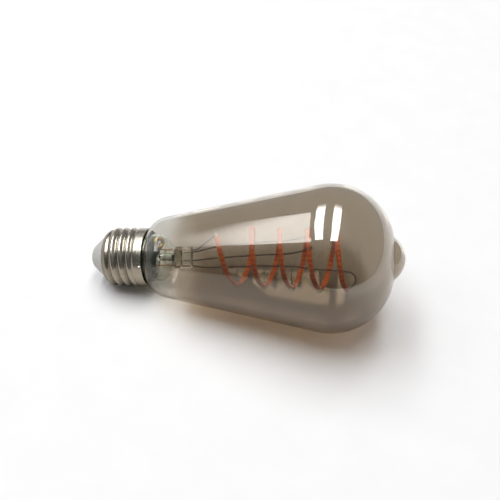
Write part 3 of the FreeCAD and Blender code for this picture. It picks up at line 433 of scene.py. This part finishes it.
# ================================================================ stage
def camera_frame():
    """Where the camera stands, and its right, up and backward directions."""
    up = Vector((0.0, math.sin(MOUNT_TURN), math.cos(MOUNT_TURN)))
    front = Vector((0.0, -math.cos(MOUNT_TURN), math.sin(MOUNT_TURN)))
    back = math.sin(CROWN_TOWARDS) * BULB_AXIS + math.cos(CROWN_TOWARDS) * front
    right = math.cos(CROWN_TOWARDS) * BULB_AXIS - math.sin(CROWN_TOWARDS) * front
    rolled_right = math.cos(CAMERA_ROLL) * right - math.sin(CAMERA_ROLL) * up
    rolled_up = math.sin(CAMERA_ROLL) * right + math.cos(CAMERA_ROLL) * up
    aim = AIM_ALONG * BULB_AXIS
    stand = aim - AIM_RIGHT * rolled_right + AIM_BELOW * rolled_up + CAMERA_DEPTH * back
    return stand, rolled_right, rolled_up, back


def make_camera():
    """The camera, above and in front of the bulb."""
    stand, right, up, back = camera_frame()
    data = bpy.data.cameras.new("camera")
    data.sensor_width = SENSOR * MILLIMETRES
    data.lens = LENS * MILLIMETRES
    data.clip_start = NEAREST_SEEN
    camera = bpy.data.objects.new("camera", data)
    camera.matrix_world = Matrix.Translation(stand) @ Matrix((right, up, back)).transposed().to_4x4()
    bpy.context.scene.collection.objects.link(camera)
    bpy.context.scene.camera = camera


def points_of(name):
    """A CAD node's points as rows of three numbers."""
    vertices = nodes[name].data.vertices
    points = np.zeros(len(vertices) * 3)
    vertices.foreach_get("co", points)
    return points.reshape(-1, 3)


def resting_plane():
    """The tilt and height of the plane that the cap's thread and the glass both touch."""
    cap, glass = points_of("cap_shell"), points_of("glass_envelope")
    low, high = 0.0, STEEPEST_TILT
    for _ in range(TILT_HALVINGS):
        tilt = (low + high) / 2.0
        normal = np.array((math.sin(tilt), 0.0, math.cos(tilt)))
        cap_rest, glass_rest = (cap @ normal).min(), (glass @ normal).min()
        if cap_rest > glass_rest:
            low = tilt
        else:
            high = tilt
    return tilt, min(cap_rest, glass_rest)


def make_floor():
    """A pale floor under the lying bulb."""
    tilt, height = resting_plane()
    normal = Vector((math.sin(tilt), 0.0, math.cos(tilt)))
    along = Vector((math.cos(tilt), 0.0, -math.sin(tilt)))
    across = Vector((0.0, 1.0, 0.0))
    middle = normal * (height - FLOOR_GAP) + along * FLOOR_MIDDLE
    half = FLOOR_SIZE / 2.0
    signs = ((-1, -1), (1, -1), (1, 1), (-1, 1))
    corners = [middle + a * half * along + b * half * across for a, b in signs]
    mesh = bpy.data.meshes.new("floor")
    mesh.from_pydata(corners, [], [(0, 1, 2, 3)])
    floor = bpy.data.objects.new("floor", mesh)
    bpy.context.scene.collection.objects.link(floor)
    mesh.materials.append(floor_paper())


def make_light(name, spans_x, spans_y, fade, strength=1.0):
    """A soft rectangular light overhead. Its spans are shares of its height, seen from the bulb."""
    width = (spans_x[1] - spans_x[0]) * LIGHT_HEIGHT
    depth = (spans_y[1] - spans_y[0]) * LIGHT_HEIGHT
    data = bpy.data.lights.new(name, "AREA")
    data.shape = "RECTANGLE"
    data.size, data.size_y = width, depth
    data.energy = LIGHT_RADIANCE * strength * math.pi * width * depth
    fade_light(data, *fade)
    light = bpy.data.objects.new(name, data)
    light.location = (
        (cad_low.x + cad_high.x) / 2.0 + LIGHT_HEIGHT * sum(spans_x) / 2.0,
        LIGHT_HEIGHT * sum(spans_y) / 2.0,
        LIGHT_HEIGHT,
    )
    light.visible_camera = False
    bpy.context.scene.collection.objects.link(light)


def fade_light(data, share_x, share_y, dark, bright):
    """Fades a light where its two shares, weighed together, run from bright down to dark."""
    data.use_nodes = True
    tree = data.node_tree
    emission = next(n for n in tree.nodes if n.type == "EMISSION")
    where = add_node(tree, "ShaderNodeNewGeometry")
    parts = add_node(tree, "ShaderNodeSeparateXYZ")
    join(tree, where.outputs["Parametric"], parts.inputs["Vector"])
    across = sums(tree, "MULTIPLY", parts.outputs["X"], share_x)
    both = sums(tree, "ADD", across, sums(tree, "MULTIPLY", parts.outputs["Y"], share_y))
    shown = span(tree, both, 0.0, 1.0, dark, bright, smooth=True)
    join(tree, shown, emission.inputs["Strength"])


def make_world():
    """A white backdrop that, as a light, is dim behind, dark in front and brighter to the right."""
    world = bpy.data.worlds.new("studio")
    world.use_nodes = True
    tree = world.node_tree
    tree.nodes.clear()
    where = add_node(tree, "ShaderNodeTexCoord")
    towards = add_node(tree, "ShaderNodeSeparateXYZ")
    join(tree, where.outputs["Generated"], towards.inputs["Vector"])
    path = add_node(tree, "ShaderNodeLightPath")
    behind = span(tree, towards.outputs["Y"], 0.0, 1.0, -0.45, -0.15, smooth=True)
    through = sums(tree, "MULTIPLY", path.outputs["Is Transmission Ray"], behind)
    seen = sums(tree, "MAXIMUM", path.outputs["Is Camera Ray"], through)
    depth = span(tree, towards.outputs["Y"], FRONT_DARK, BEHIND_DIM, -0.55, -0.30, smooth=True)
    right = span(tree, towards.outputs["X"], 0.0, RIGHT_GLOW, 0.55, 0.95, smooth=True)
    high = span(tree, towards.outputs["Z"], 0.0, HIGH_GLOW, 0.70, 0.92, smooth=True)
    glow = sums(tree, "ADD", depth, sums(tree, "ADD", right, high))
    dim = add_node(tree, "ShaderNodeBackground", {"Color": WHITE})
    join(tree, glow, dim.inputs["Strength"])
    white = add_node(tree, "ShaderNodeBackground", {"Color": WHITE, "Strength": BACKDROP})
    mix = add_node(tree, "ShaderNodeMixShader")
    output = add_node(tree, "ShaderNodeOutputWorld")
    join(tree, seen, mix.inputs[0])
    join(tree, dim.outputs[0], mix.inputs[1])
    join(tree, white.outputs[0], mix.inputs[2])
    join(tree, mix.outputs[0], output.inputs["Surface"])
    bpy.context.scene.world = world


def make_studio():
    """Three soft lights side by side overhead, and the white backdrop."""
    make_light("left_softbox", (-0.86, -0.50), (-0.39, 0.60), LEFT_FADE, strength=0.36)
    make_light("middle_softbox", (-0.34, -0.09), (-0.36, 0.92), END_FADE)
    make_light("right_softbox", (0.15, 0.38), (-0.40, 0.95), END_FADE)
    make_world()
    bpy.context.scene.view_settings.view_transform = "Standard"


make_camera()
make_floor()
make_studio()
dress_nodes()
